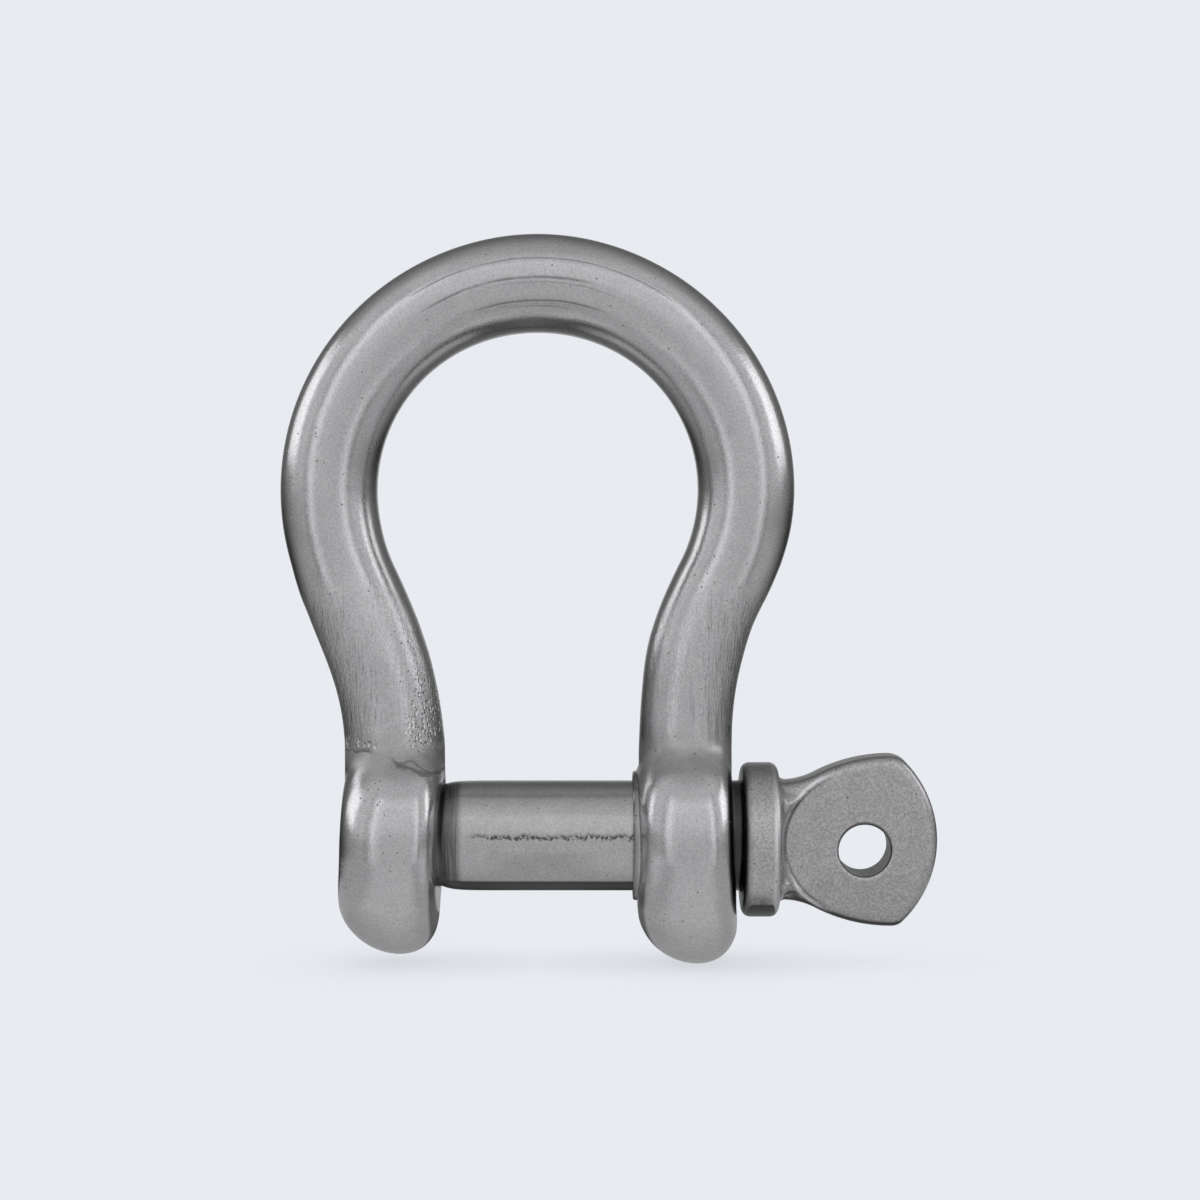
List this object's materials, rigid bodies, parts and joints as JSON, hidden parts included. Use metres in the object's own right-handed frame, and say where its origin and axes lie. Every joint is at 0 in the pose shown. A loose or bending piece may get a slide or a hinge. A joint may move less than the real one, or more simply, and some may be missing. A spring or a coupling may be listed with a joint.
{
  "type": "bow shackle",
  "caption": "Stainless steel bow shackle: a round-bar bow with two eared legs, closed by a screw pin with a collar and a flat eyed head.",
  "frame": {"origin": "on the pin's axis, midway between the two ears", "axes": "+X along the pin from the tapped ear toward the pin's head, +Y across the bow's plane, +Z from the pin up to the crown"},
  "size_m": [0.0681, 0.0196, 0.0752],
  "materials": {
    "bow_steel": "cast stainless steel, tumbled and polished to a satin",
    "pin_steel": "cast stainless steel, shank turned, head left slightly grainy"
  },
  "bodies": {
    "bow": {"bow": "bow_steel"},
    "pin": {"screw_pin": "pin_steel"}
  },
  "joints": [
    {"name": "pin_withdraw", "type": "slide", "parent": "bow", "child": "pin", "axis": [1, 0, 0], "range_m": [0, 0.042]}
  ]
}
